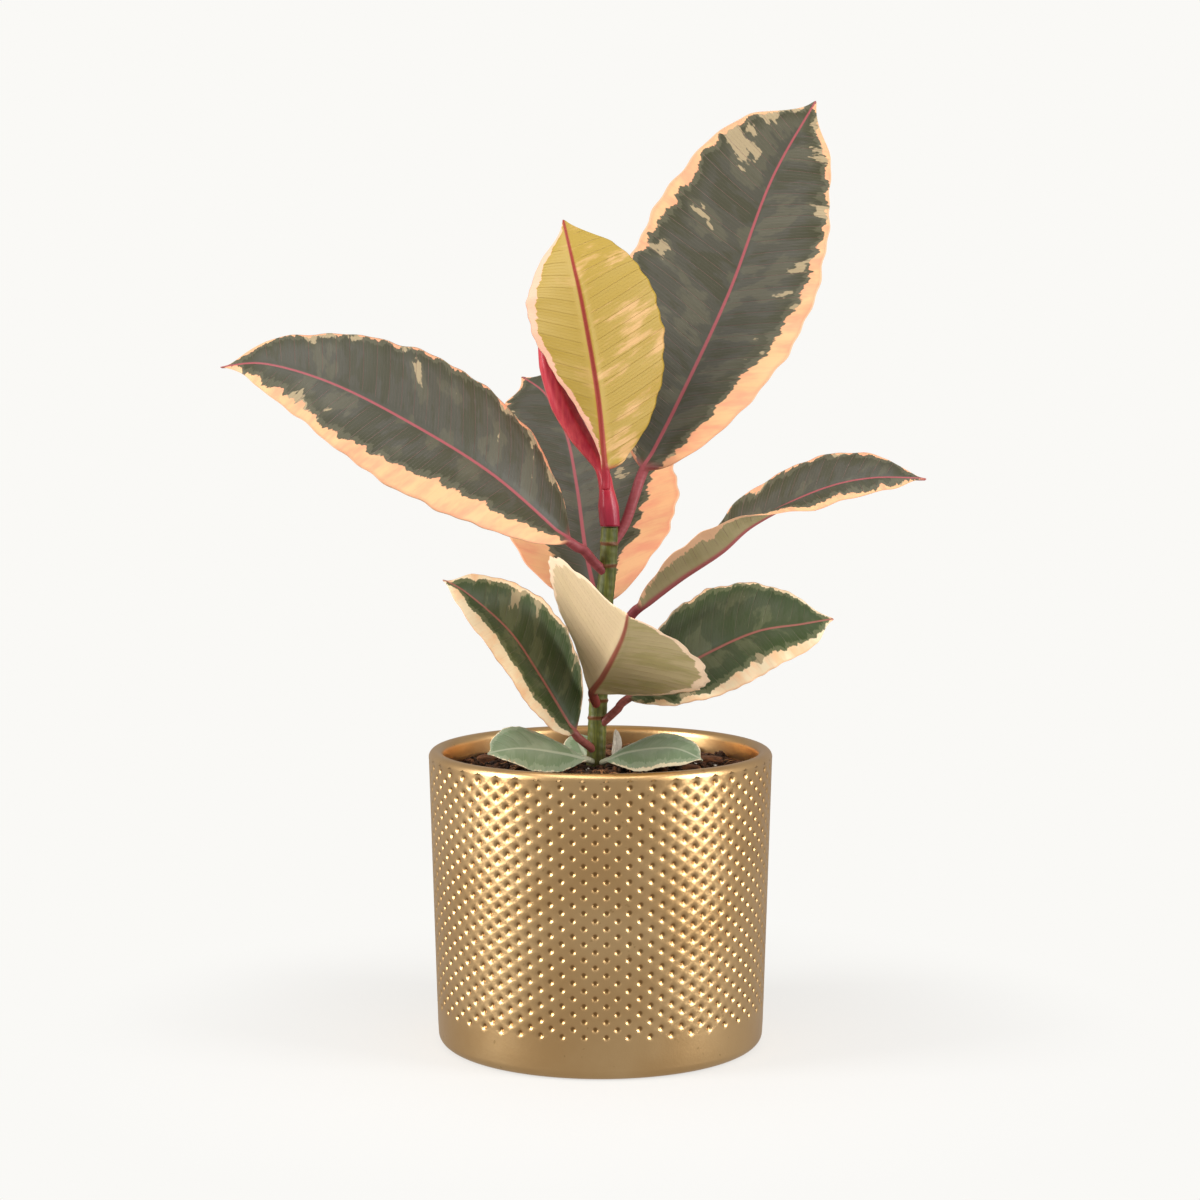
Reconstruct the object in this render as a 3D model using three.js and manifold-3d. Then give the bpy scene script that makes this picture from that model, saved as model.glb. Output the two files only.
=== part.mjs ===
// A young variegated rubber plant in a round dimpled metal planter.
// Millimetres, +Z up, origin at the centre of the pot's flat base.
import * as THREE from 'three';
import { ParametricGeometry } from 'three/addons/geometries/ParametricGeometry.js';
import { mergeVertices } from 'three/addons/utils/BufferGeometryUtils.js';
import Module from 'manifold-3d';

const manifold = await Module();
manifold.setup();

// ---- driving dimensions ----
const POT_HEIGHT = 120.3;
const POT_RIM_RADIUS = 70;
const POT_BASE_RADIUS = 66.5;
const POT_BASE_EDGE = 4;
const POT_WALL = 5.9;
const POT_FLOOR = 6;
const SOIL_DEPTH_BELOW_RIM = 9;
const SOIL_MOUND = 1.5;
const GAP = 0.3;
const STEM_BASE_RADIUS = 4.1;
const STEM_TOP_RADIUS = 3.3;
const BLADE_HALF_THICKNESS = 0.45;
const ROUND_STEPS = 64;
const SOIL_Z = POT_HEIGHT - SOIL_DEPTH_BELOW_RIM;

// ---- finishes ----
const finish = (color, roughness, metalness = 0) => ({ color, roughness, metalness });
const GOLD = finish(0xb08a4e, 0.35, 1);
const SOIL = finish(0x3a2617, 0.95);
const BARK = finish(0x6b4426, 0.9);
const STEM_GREEN = finish(0x5a5f20, 0.6);
const SHEATH_RED = finish(0xc02c42, 0.4);
const DRY_SHEATH = finish(0xb9a88a, 0.8);
const NEW_LEAF = finish(0xb9a546, 0.4);
const GREY_GREEN = finish(0x565c52, 0.35);
const UNDERSIDE = finish(0xb4a57d, 0.5);
const LEAF_GREEN = finish(0x4c5a3a, 0.35);
const SAGE = finish(0x96a582, 0.5);

// ---- helpers ----
const smoothstep = (a, b, x) => THREE.MathUtils.smoothstep(x, a, b);

// A value that runs evenly through a short list as t goes from 0 to 1.
function along(list, t) {
  const place = THREE.MathUtils.clamp(t, 0, 1) * (list.length - 1);
  const i = Math.min(Math.floor(place), Math.max(list.length - 2, 0));
  const next = list[Math.min(i + 1, list.length - 1)];
  return THREE.MathUtils.lerp(list[i], next, place - i);
}

// Keeps only the position, merges shared corners and drops triangles with no area.
function weld(geometry, tolerance = 1e-4) {
  geometry.deleteAttribute('normal');
  geometry.deleteAttribute('uv');
  const merged = mergeVertices(geometry, tolerance);
  const kept = [];
  const index = merged.index.array;
  for (let i = 0; i < index.length; i += 3) {
    const [a, b, c] = [index[i], index[i + 1], index[i + 2]];
    if (a !== b && b !== c && c !== a) kept.push(a, b, c);
  }
  merged.setIndex(kept);
  return merged;
}

function toManifold(geometry) {
  const welded = weld(geometry);
  return new manifold.Manifold(new manifold.Mesh({
    numProp: 3,
    vertProperties: new Float32Array(welded.attributes.position.array),
    triVerts: new Uint32Array(welded.index.array),
  }));
}

function fromManifold(solid) {
  const mesh = solid.getMesh();
  const geometry = new THREE.BufferGeometry();
  geometry.setAttribute('position', new THREE.BufferAttribute(mesh.vertProperties, 3));
  geometry.setIndex(new THREE.BufferAttribute(mesh.triVerts, 1));
  return geometry;
}

const plant = new THREE.Group();

function add(name, geometry, look) {
  geometry.computeVertexNormals();
  const material = new THREE.MeshStandardMaterial(look);
  const mesh = new THREE.Mesh(geometry, material);
  mesh.name = name;
  plant.add(mesh);
  return mesh;
}

// A closed skin carried along a path: ring(s) gives the section's corners at
// s from 0 to 1, and the first and last rings have shrunk to a point.
function skin(ring, corners, steps) {
  const place = (turn, s, target) => {
    const k = Math.round(turn * corners) % corners;
    target.copy(ring(Math.round(s * steps) / steps)[k]);
  };
  return weld(new ParametricGeometry(place, corners, steps));
}

// ---- pot ----
function potGeometry() {
  const innerRim = POT_RIM_RADIUS - POT_WALL;
  const innerBase = POT_BASE_RADIUS - POT_WALL;
  const crest = POT_WALL / 2;
  const profile = new THREE.Path();
  profile.moveTo(0, 0);
  profile.lineTo(POT_BASE_RADIUS - POT_BASE_EDGE, 0);
  profile.quadraticCurveTo(POT_BASE_RADIUS, 0, POT_BASE_RADIUS, POT_BASE_EDGE);
  profile.lineTo(POT_RIM_RADIUS, POT_HEIGHT - crest);
  profile.absarc(POT_RIM_RADIUS - crest, POT_HEIGHT - crest, crest, 0, Math.PI, false);
  profile.lineTo(innerBase, POT_FLOOR);
  profile.lineTo(0, POT_FLOOR);
  const points = profile.getPoints(5);
  points[0].x = 0;
  points[points.length - 1].x = 0;
  const lathe = new THREE.LatheGeometry(points, ROUND_STEPS);
  lathe.rotateX(Math.PI / 2);
  return weld(lathe);
}

// ---- stem ----
const STEM_POINTS = [
  [-3, 0, 78], [-2.5, 0, 100], [-2, 0, 111], [-1, 0, 138], [1, 0, 173], [3, 0, 194], [3.6, 0, 207],
];
const STEM_TOP = 210.5;

// The stem is a round tube along a gentle curve, a little thicker at its foot;
// spare widens it, for the clearance cut out of whatever meets it.
function stemGeometry(spare) {
  const top = STEM_TOP + spare;
  const points = STEM_POINTS.map((p) => new THREE.Vector3(...p));
  points.push(new THREE.Vector3(3.8, 0, top));
  const curve = new THREE.CatmullRomCurve3(points, false, 'catmullrom', 0.5);
  const corners = 16;
  const steps = 28;
  const ring = (s) => {
    const inner = (s * steps - 1) / (steps - 2);
    const centre = curve.getPointAt(THREE.MathUtils.clamp(inner, 0, 1));
    const closed = s === 0 || s === 1;
    const radius = closed ? 0 : THREE.MathUtils.lerp(STEM_BASE_RADIUS, STEM_TOP_RADIUS, inner) + spare;
    return Array.from({ length: corners }, (_, k) => {
      const angle = (2 * Math.PI * k) / corners;
      return new THREE.Vector3(centre.x + radius * Math.cos(angle), centre.y + radius * Math.sin(angle), centre.z);
    });
  };
  return skin(ring, corners, steps);
}

const stemClearance = toManifold(stemGeometry(GAP));

// ---- red bud sheath ----
const SHEATH_POINTS = [
  [3.9, 0, 211], [3.6, 0, 214], [3.2, 0.4, 219], [2.4, 1.6, 226], [0.3, 5, 234], [-7, 10, 245],
  [-14.5, 13, 258], [-21, 13, 275], [-25.5, 10, 296],
];
const SHEATH_RADII = [3.9, 4.1, 4.2, 3.0, 2.8, 5.0, 5.5, 4.0, 0.3];

function sheathGeometry() {
  const corners = 14;
  const steps = 24;
  const curve = new THREE.CatmullRomCurve3(
    SHEATH_POINTS.map((p) => new THREE.Vector3(...p)), false, 'catmullrom', 0.5);
  const ring = (s) => {
    const inner = THREE.MathUtils.clamp((s * steps - 1) / (steps - 1), 0, 1);
    const centre = curve.getPoint(inner);
    const radius = s === 0 || s === 1 ? 0 : along(SHEATH_RADII, inner);
    return Array.from({ length: corners }, (_, k) => {
      const angle = (2 * Math.PI * k) / corners;
      return new THREE.Vector3(centre.x + radius * Math.cos(angle), centre.y + radius * Math.sin(angle), centre.z);
    });
  };
  return skin(ring, corners, steps);
}

// ---- leaves ----
// Each leaf is one piece: a round stalk that starts at the stem and flattens
// into the blade, whose midrib carries on to the tip.
//   stalk, rib   points along the stalk and along the midrib
//   face         the way the upper side looks, from the blade's base to its tip
//   half         greatest half width to the left and to the right of the midrib
//   lift, curl   degrees that each half rises from the midrib, and bends by its margin
//   widest, full where along the midrib each half is widest, and how blunt its outline is
//   stem         radius of the stalk
const LEAVES = {
  leaf_new_top: {
    stalk: [[2.2, -6, 226]],
    rib: [[2, -5.5, 234], [-1, -8, 264], [-7, -10, 299], [-11, -8, 317], [-15, 0, 334]],
    face: [[0.1, 1, 0], [0.15, 1, 0]], half: [34, 27], lift: [[34, 26], [20, 20]],
    curl: [[10, 5], [12, 10]], widest: [0.5, 0.64], full: [0.55, 0.85], stem: 1.7, look: NEW_LEAF,
  },
  leaf_top_right: {
    stalk: [[3.4, 0, 202], [9.6, 3.5, 211], [13.6, 6, 222]],
    rib: [[18, 10, 234], [31, 18, 259], [53, 34, 305], [71, 44, 352], [90, 48, 386]],
    face: [[-0.45, -0.8, 0.35], [-0.3, -0.95, 0.2], [-0.1, -1, 0.1]], half: [45, 37],
    lift: [[14, 8], [14, 8]], curl: [[-12, -12], [-12, -12]], widest: [0.5, 0.45], full: [0.66, 0.58],
    stem: 2.1, look: GREY_GREEN,
  },
  leaf_left: {
    stalk: [[2, -1, 192], [-3, -4, 197], [-7, -8, 202]],
    rib: [[-13, -12, 206], [-42, -20, 232], [-73, -26, 252], [-104, -28, 268],
      [-131, -26, 276], [-150, -22, 275]],
    face: [[0.5, -0.6, 0.6], [0.2, -0.75, 0.65], [0, -0.75, 0.65]], half: [33, 38],
    lift: [[12, 8], [12, 8]], curl: [[-20, -20], [-20, -20]], widest: [0.42, 0.42],
    full: [0.85, 0.8], stem: 2, look: GREY_GREEN,
  },
  leaf_back: {
    stalk: [[1, 1, 164], [1, 5, 170]],
    rib: [[-1, 9, 178], [-6, 20, 199], [-10, 45, 225], [-15, 70, 247], [-24, 92, 263], [-35, 107, 271]],
    face: [[0.1, -0.8, 0.6], [0.1, -0.8, 0.6]], half: [38, 43], lift: [[10, 8], [10, 8]],
    curl: [[-12, -10], [-12, -10]], widest: [0.46, 0.46], full: [0.62, 0.62], stem: 2, look: GREY_GREEN,
  },
  leaf_right: {
    stalk: [[0.6, -0.5, 160], [5, -2, 166], [11.5, -5, 174]],
    rib: [[16, -8, 179], [31, -18, 191.5], [47, -28, 203], [60, -34, 214.5], [84, -42, 227],
      [104, -45, 232], [126, -46, 232]],
    face: [[-0.5, 0.2, 0.85], [-0.4, 0, 0.9], [0, -0.4, 0.9], [0, -0.45, 0.9]], half: [22, 14],
    lift: [[60, 44, 16, 10], [72, 52, 4, -12]], curl: [[0, 0, -10, -20], [0, 0, -20, -20]],
    widest: [0.68, 0.5], full: [0.7, 0.7], stem: 2, look: GREY_GREEN,
  },
  leaf_front_folded: {
    stalk: [[-1, -0.5, 137], [-2.4, -5, 141]],
    rib: [[-3, -9, 145], [1, -20, 152], [5, -42, 162], [8, -64, 171], [9.5, -82, 178], [10, -96, 184]],
    face: [[0.5, 0.62, 0.6], [0.5, 0.55, 0.65], [0.4, 0.5, 0.7]], half: [37.5, 44],
    lift: [[22, 22], [16, 18]], curl: [[-8, -14], [0, 10]], widest: [0.45, 0.53], full: [0.85, 0.72],
    stem: 1.9, look: UNDERSIDE,
  },
  leaf_lower_left: {
    stalk: [[-2, -0.5, 118.5], [-4.5, -4, 121.5], [-8, -9, 125]],
    rib: [[-11, -12, 129], [-24, -22, 152], [-36, -30, 171], [-52, -34, 186], [-62, -34, 192]],
    face: [[0.7, -0.6, 0.2], [0.6, -0.7, 0.4]], half: [26, 27], lift: [[30, 30], [8, 5]],
    curl: [[-10, -15], [-15, -15]], widest: [0.46, 0.4], full: [0.7, 0.7], stem: 1.7, look: LEAF_GREEN,
  },
  leaf_lower_right: {
    stalk: [[-1, -0.5, 129], [3, -3, 133], [7, -5, 137]],
    rib: [[12, -7, 142], [41, -18, 160], [62, -22, 170], [80, -22, 173], [93, -20, 175]],
    face: [[-0.2, -0.6, 0.75], [-0.1, -0.65, 0.75], [0, -0.65, 0.75]], half: [33, 24],
    lift: [[12, 8], [12, 8]], curl: [[-20, -20], [-20, -20]], widest: [0.42, 0.5], full: [0.62, 0.7],
    stem: 1.7, look: LEAF_GREEN,
  },
  leaf_soil_left: {
    stalk: [[-2.6, -0.5, 114.4], [-4.5, -6, 116]],
    rib: [[-6, -9, 117], [-16, -14, 120], [-32, -21, 123], [-45, -27, 122]],
    face: [[0, -0.6, 0.8], [-0.1, -0.5, 0.9]], half: [13, 17], lift: [[5, 5], [5, 5]],
    curl: [[-20, -20], [-20, -20]], widest: [0.55, 0.6], full: [0.8, 0.9], stem: 1.3, look: SAGE,
  },
  leaf_soil_right: {
    stalk: [[-2, -0.5, 114], [1.4, -3.6, 115]],
    rib: [[3, -5, 116], [12, -10, 120], [29, -17, 122.5], [41, -22, 118.5]],
    face: [[0, -0.5, 0.8], [0.1, -0.4, 0.9]], half: [13, 14], lift: [[5, 5], [5, 5]],
    curl: [[-20, -20], [-20, -20]], widest: [0.55, 0.55], full: [0.7, 0.7], stem: 1.3, look: SAGE,
  },
  leaf_soil_back: {
    stalk: [[-2.4, 0.5, 113.5], [-4.6, 5, 115]], rib: [[-6, 7, 116], [-8.6, 12, 120], [-10, 17, 124]],
    face: [[0.1, -0.8, 0.5], [0.1, -0.9, 0.4]], half: [7, 7], lift: [[5, 5], [5, 5]],
    curl: [[-20, -20], [-20, -20]], widest: [0.5, 0.5], full: [0.6, 0.6], stem: 1, look: SAGE,
  },
};

// Corners of a leaf's section, as a share of the half width: underneath from the
// right margin to the left, then back over the top.
const ACROSS = [1, 0.7, 0.3, 0, -0.3, -0.7, -1, -0.7, -0.3, 0, 0.3, 0.7];
const UNDER_CORNERS = 6;
const STALK_RINGS = 4;
const BLADE_RINGS = 18;
const TIP_POINT = 0.05;

// Half width along the blade: a sine arch skewed so that its top sits at
// widest, raised to the power full, and drawn in to a point at the tip.
function outline(u, widest, full) {
  const skew = Math.log(0.5) / Math.log(widest);
  const arch = Math.sin(Math.PI * Math.min(Math.max(u, 0), 1) ** skew);
  return Math.max(arch, 0) ** full * (1 - 0.75 * smoothstep(1 - 2.2 * TIP_POINT, 1, u));
}

function leafGeometry(leaf) {
  const points = [...leaf.stalk, ...leaf.rib].map((p) => new THREE.Vector3(...p));
  const curve = new THREE.CatmullRomCurve3(points, false, 'catmullrom', 0.5);
  curve.arcLengthDivisions = 400;
  const lengths = curve.getLengths();
  const stalkStep = Math.round((400 * leaf.stalk.length) / (points.length - 1));
  const stalkShare = lengths[stalkStep] / lengths[400];
  const faces = [0, 1, 2].map((axis) => leaf.face.map((f) => new THREE.Vector3(...f).normalize().getComponent(axis)));
  const steps = STALK_RINGS + BLADE_RINGS;
  const ring = (s) => {
    const step = Math.round(s * steps);
    const u = (step - STALK_RINGS) / BLADE_RINGS;
    const share = step < STALK_RINGS
      ? (Math.max(step - 1, 0) / (STALK_RINGS - 1)) * stalkShare
      : stalkShare + (1 - stalkShare) * u;
    const centre = curve.getPointAt(Math.min(share, 1));
    const forward = curve.getTangentAt(Math.min(share, 1));
    const up = new THREE.Vector3(along(faces[0], u), along(faces[1], u), along(faces[2], u));
    up.addScaledVector(forward, -up.dot(forward)).normalize();
    const right = new THREE.Vector3().crossVectors(forward, up);
    const closed = step === 0 || step === steps;
    const ribRadius = Math.max(leaf.stem * (1 - 0.85 * Math.max(u, 0)), 0.25);
    const stalkness = 1 - smoothstep(-0.02, 0.05, u);
    const halfThick = THREE.MathUtils.lerp(BLADE_HALF_THICKNESS, leaf.stem, stalkness);
    return ACROSS.map((v, k) => {
      if (closed) return centre.clone();
      const side = v < 0 ? 0 : 1;
      const blade = u > 0 ? leaf.half[side] * outline(u, leaf.widest[side], leaf.full[side]) : 0;
      const width = Math.hypot(blade, u < 0.5 ? ribRadius : BLADE_HALF_THICKNESS);
      const lift = THREE.MathUtils.degToRad(along(leaf.lift[side], u)) * (1 - stalkness);
      const bend = THREE.MathUtils.degToRad(along(leaf.curl[side], u)) * (1 - stalkness) || 1e-4;
      const away = Math.abs(v);
      const out = (width * (Math.sin(lift + bend * away) - Math.sin(lift))) / bend;
      const rise = (width * (Math.cos(lift) - Math.cos(lift + bend * away))) / bend;
      const skinHeight = halfThick * Math.sqrt(1 - v * v);
      const keel = (1 - stalkness) * ribRadius * Math.exp(-(((width * away) / ribRadius) ** 2));
      const height = k < UNDER_CORNERS ? -skinHeight - keel : skinHeight;
      return centre.clone()
        .addScaledVector(right, Math.sign(v) * out)
        .addScaledVector(up, rise + height);
    });
  };
  const solid = toManifold(skin(ring, ACROSS.length, steps));
  return fromManifold(solid.subtract(stemClearance));
}

// ---- soil, bark and dried sheath ----
const BED_GAP = 0.45;

function soilGeometry() {
  const wallSlope = (POT_RIM_RADIUS - POT_BASE_RADIUS) / POT_HEIGHT;
  const radiusAt = (z) => POT_BASE_RADIUS - POT_WALL + wallSlope * z - 2 * GAP;
  const bottom = POT_FLOOR + GAP;
  const profile = new THREE.Path();
  profile.moveTo(0, bottom);
  profile.lineTo(radiusAt(bottom), bottom);
  profile.lineTo(radiusAt(SOIL_Z), SOIL_Z);
  profile.quadraticCurveTo(radiusAt(SOIL_Z) / 2, SOIL_Z + SOIL_MOUND, 0, SOIL_Z + SOIL_MOUND);
  const lathe = new THREE.LatheGeometry(profile.getPoints(6), 48);
  lathe.rotateX(Math.PI / 2);
  let solid = toManifold(lathe).subtract(stemClearance);
  for (const chip of CHIPS) solid = solid.subtract(toManifold(chipGeometry(chip, BED_GAP)));
  return fromManifold(solid);
}

// Chips of bark lie half sunk in the soil: angle and distance from the pot's axis, half
// length, half width, half thickness, turn and tilt in degrees.
const CHIPS = [
  [18, 47, 7, 4, 2.4, 30, 8], [40, 38, 5.5, 3, 2, 100, -10], [62, 50, 6.5, 3.6, 2.2, 15, 6],
  [88, 36, 5, 3.2, 2, 140, 12], [112, 48, 7, 3.4, 2.3, 60, -6], [138, 34, 5.2, 3, 1.9, 20, 10],
  [160, 50, 6, 4, 2.4, 120, 5], [196, 54, 5, 3, 2, 75, -8], [300, 46, 5.6, 3.2, 2, 40, 9],
  [328, 54, 5, 3.4, 2.1, 95, -7], [350, 36, 5.4, 3, 2, 10, 8], [4, 57, 4.4, 2.6, 1.8, 70, 4],
];

function chipGeometry([angle, away, length, width, thick, turn, tilt], spare) {
  const chip = new THREE.DodecahedronGeometry(1);
  chip.scale(length + spare, width + spare, thick + spare);
  chip.rotateY(THREE.MathUtils.degToRad(tilt));
  chip.rotateZ(THREE.MathUtils.degToRad(turn));
  const a = THREE.MathUtils.degToRad(angle);
  chip.translate(away * Math.cos(a), away * Math.sin(a), SOIL_Z + SOIL_MOUND);
  return chip;
}

// A dried bud sheath, standing in the soil behind the stem: a small boat-shaped scale.
const DRY_SHEATH_LEAF = {
  stalk: [[5, 7, 113.6]], rib: [[5.5, 7.4, 115], [6.5, 8.5, 120.5], [6.2, 8.6, 127]],
  face: [[0.2, 1, 0.1], [0.2, 1, 0.1]], half: [3.2, 3.2], lift: [[30, 30], [30, 30]],
  curl: [[40, 40], [40, 40]], widest: [0.4, 0.4], full: [0.6, 0.6], stem: 0.7, look: DRY_SHEATH,
};

// ---- the model ----
add('pot', potGeometry(), GOLD);
const soil = soilGeometry();
const chips = CHIPS.map((chip) => weld(chipGeometry(chip, 0)));
add('potting_soil', soil, SOIL);
chips.forEach((chip, i) => add(`bark_chip_${String(i + 1).padStart(2, '0')}`, chip, BARK));
add('main_stem', stemGeometry(0), STEM_GREEN);
add('bud_sheath', sheathGeometry(), SHEATH_RED);
add('dried_sheath', leafGeometry(DRY_SHEATH_LEAF), DRY_SHEATH);
for (const [name, leaf] of Object.entries(LEAVES)) {
  add(name, leafGeometry(leaf), leaf.look);
}

export default plant;
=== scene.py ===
# %% [markdown]
# # A young rubber plant in a dimpled gold pot
#
# The construction is already fixed: every piece has its real size and place in
# the frame that the next cell loads. This lesson gives each piece its finished
# surface. A leaf, a stem and a pot wall are all the same kind of thing here: a
# surface worked out from two numbers, one around and one along.

# %% Load the frame
import math
import bpy
import numpy as np
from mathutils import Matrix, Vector


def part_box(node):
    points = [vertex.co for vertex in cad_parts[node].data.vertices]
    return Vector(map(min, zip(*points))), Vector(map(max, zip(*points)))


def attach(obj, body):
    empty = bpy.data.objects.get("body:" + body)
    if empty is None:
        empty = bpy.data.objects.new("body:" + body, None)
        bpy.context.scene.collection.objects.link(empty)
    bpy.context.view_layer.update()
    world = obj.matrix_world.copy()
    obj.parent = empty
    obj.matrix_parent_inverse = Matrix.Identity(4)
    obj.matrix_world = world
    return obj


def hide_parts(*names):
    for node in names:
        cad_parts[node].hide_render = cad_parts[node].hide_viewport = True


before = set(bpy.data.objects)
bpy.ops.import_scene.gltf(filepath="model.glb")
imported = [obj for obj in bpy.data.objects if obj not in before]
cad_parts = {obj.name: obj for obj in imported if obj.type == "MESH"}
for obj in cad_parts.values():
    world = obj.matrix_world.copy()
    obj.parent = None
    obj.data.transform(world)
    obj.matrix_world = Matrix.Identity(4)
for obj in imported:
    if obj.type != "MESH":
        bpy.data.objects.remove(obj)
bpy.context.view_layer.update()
MM = 0.001
pot_low, pot_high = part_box("pot")
soil_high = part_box("potting_soil")[1]
print("pot", [round(v / MM, 1) for v in pot_high - pot_low], "mm")

# %% [markdown]
# ## The camera
#
# The plant is seen from a little above the pot, at arm's length and through a
# long lens, so that the pot's sides stay nearly upright. A long lens from
# further off would flatten it more; a short one would swell the near leaves.

# %% Place the camera
CAMERA_DISTANCE = 1.02984
CAMERA_HEIGHT = 0.27325
CAMERA_DIP = math.radians(5.123)
LENS = 76.39

camera_data = bpy.data.cameras.new("camera")
camera_data.lens = LENS
camera_data.sensor_width = 36
camera_data.clip_end = 50
camera = bpy.data.objects.new("camera", camera_data)
camera.location = (-0.0002, -CAMERA_DISTANCE, CAMERA_HEIGHT)
camera.rotation_euler = (math.pi / 2 - CAMERA_DIP, 0, 0)
bpy.context.scene.collection.objects.link(camera)
bpy.context.scene.camera = camera
print("camera", camera.location[:], "lens", LENS)

# %% [markdown]
# ## From arrays to pieces
#
# A surface is an array of points with one row for each step along and one
# column for each step around. The rows join to their neighbours by quads, and a
# row that has shrunk to a point closes the end. Building the arrays first and
# handing them over whole is much faster than adding vertices one by one.

# %% Mesh helpers
def closed_skin(rings):
    """Quads between neighbouring rings, each ring joined to its own start, and a
    fan of triangles from one point at each end: the first and last rings are
    taken to be single points."""
    steps, corners = rings.shape[:2]
    middle = rings[1:-1].reshape(-1, 3)
    points = np.vstack([middle, rings[:1, 0], rings[-1:, 0]])
    row = np.arange(steps - 3)[:, None] * corners
    here = np.arange(corners)[None, :]
    after = (here + 1) % corners
    further = row + corners
    quads = np.stack([row + here, row + after, further + after, further + here], -1).reshape(-1, 4)
    first, last = len(middle), len(middle) + 1
    end = (steps - 3) * corners
    bottom = np.stack([np.full(corners, first), after[0], here[0]], -1)
    top = np.stack([np.full(corners, last), end + here[0], end + after[0]], -1)
    return points, quads, np.vstack([bottom, top])


def build_piece(name, points, quads, triangles):
    """Puts points in metres and their faces into a smooth-shaded mesh object."""
    mesh = bpy.data.meshes.new(name)
    loops = np.concatenate([quads.ravel(), triangles.ravel()]).astype(np.int32)
    sizes = np.concatenate([np.full(len(quads), 4), np.full(len(triangles), 3)])
    starts = np.concatenate([[0], np.cumsum(sizes)[:-1]]).astype(np.int32)
    mesh.vertices.add(len(points))
    mesh.vertices.foreach_set("co", np.ascontiguousarray(points, np.float32).ravel())
    mesh.loops.add(len(loops))
    mesh.loops.foreach_set("vertex_index", loops)
    mesh.polygons.add(len(sizes))
    mesh.polygons.foreach_set("loop_start", starts)
    mesh.polygons.foreach_set("use_smooth", np.ones(len(sizes), bool))
    mesh.update(calc_edges=True)
    mesh.validate()
    piece = bpy.data.objects.new(name, mesh)
    bpy.context.scene.collection.objects.link(piece)
    return piece


def put_attribute(piece, name, values):
    """One number, or one vector, for each vertex, which a finish can read by name."""
    values = np.ascontiguousarray(values, np.float32)
    if values.ndim == 1:
        piece.data.attributes.new(name, "FLOAT", "POINT").data.foreach_set("value", values)
    else:
        piece.data.attributes.new(name, "FLOAT_VECTOR", "POINT").data.foreach_set("vector", values.ravel())


def fit(piece, slot, material, *nodes):
    """The piece rides on the one body, stands for its node, and takes its finish."""
    piece.data.materials.append(material)
    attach(piece, "root")
    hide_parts(*nodes)
    print(piece.name, len(piece.data.polygons), "faces")
    return piece


def unit(vectors):
    """Each vector divided by its own length."""
    return vectors / np.linalg.norm(vectors, axis=-1, keepdims=True)


def ease(low, high, x):
    """0 below low, 1 above high, and an S between: 3t^2 - 2t^3."""
    t = np.clip((x - low) / (high - low), 0, 1)
    return t * t * (3 - 2 * t)


def along(values, t):
    """Even run through a short list as t goes from 0 to 1."""
    values = np.asarray(values, float)
    knots = np.linspace(0, 1, len(values))
    if values.ndim == 1:
        return np.interp(t, knots, values)
    return np.stack([np.interp(t, knots, values[:, k]) for k in range(values.shape[1])], -1)


def path_through(points, divisions=400):
    """A smooth path through the points, and its running length: on each stretch
    a cubic whose slope at a point is half the step between its neighbours."""
    p = np.asarray(points, float)
    q = np.vstack([2 * p[0] - p[1], p, 2 * p[-1] - p[-2]])
    s = np.linspace(0, len(p) - 1, divisions + 1)
    i = np.minimum(s.astype(int), len(p) - 2)
    t = (s - i)[:, None]
    a, b, c, d = q[i], q[i + 1], q[i + 2], q[i + 3]
    path = 0.5 * (2 * b + (c - a) * t + (2 * a - 5 * b + 4 * c - d) * t**2 + (3 * b - a - 3 * c + d) * t**3)
    run = np.concatenate([[0], np.cumsum(np.linalg.norm(np.diff(path, axis=0), axis=1))])
    return path, run


def at_length(path, run, length):
    """The point of the path at each running length."""
    return np.stack([np.interp(length, run, path[:, k]) for k in range(3)], -1)


# %% [markdown]
# ## Writing finishes as sums
#
# A finish is a network of small operations. Wiring them one by one hides what
# they say, so a socket is wrapped in a class that knows plus, minus and times:
# `0.3 + 0.2 * speckle` adds the two Math nodes that it reads like. Any other
# node comes from `Finish.node`.

# %% Shader maths
class Wire:
    """One number carried by a shader socket."""

    def __init__(self, tree, socket):
        self.tree = tree
        self.socket = socket

    def _maths(self, operation, *others, clamp=False):
        node = self.tree.nodes.new("ShaderNodeMath")
        node.operation = operation
        node.use_clamp = clamp
        for slot, value in zip(node.inputs, others):
            if isinstance(value, Wire):
                self.tree.links.new(value.socket, slot)
            else:
                slot.default_value = value
        return Wire(self.tree, node.outputs[0])

    def __add__(self, other):
        return self._maths("ADD", self, other)

    __radd__ = __add__

    def __sub__(self, other):
        return self._maths("SUBTRACT", self, other)

    def __rsub__(self, other):
        return self._maths("SUBTRACT", other, self)

    def __mul__(self, other):
        return self._maths("MULTIPLY", self, other)

    __rmul__ = __mul__

    def __truediv__(self, other):
        return self._maths("DIVIDE", self, other)

    def __abs__(self):
        return self._maths("ABSOLUTE", self)

    def fraction(self):
        return self._maths("FRACT", self)

    def held(self):
        """The same number kept between 0 and 1."""
        return self._maths("ADD", self, 0.0, clamp=True)

    def step(self, low, high):
        """0 up to low, 1 from high on, and an S between."""
        node = self.tree.nodes.new("ShaderNodeMapRange")
        node.interpolation_type = "SMOOTHSTEP"
        self.tree.links.new(self.socket, node.inputs["Value"])
        node.inputs["From Min"].default_value = low
        node.inputs["From Max"].default_value = high
        return Wire(self.tree, node.outputs["Result"])


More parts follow.
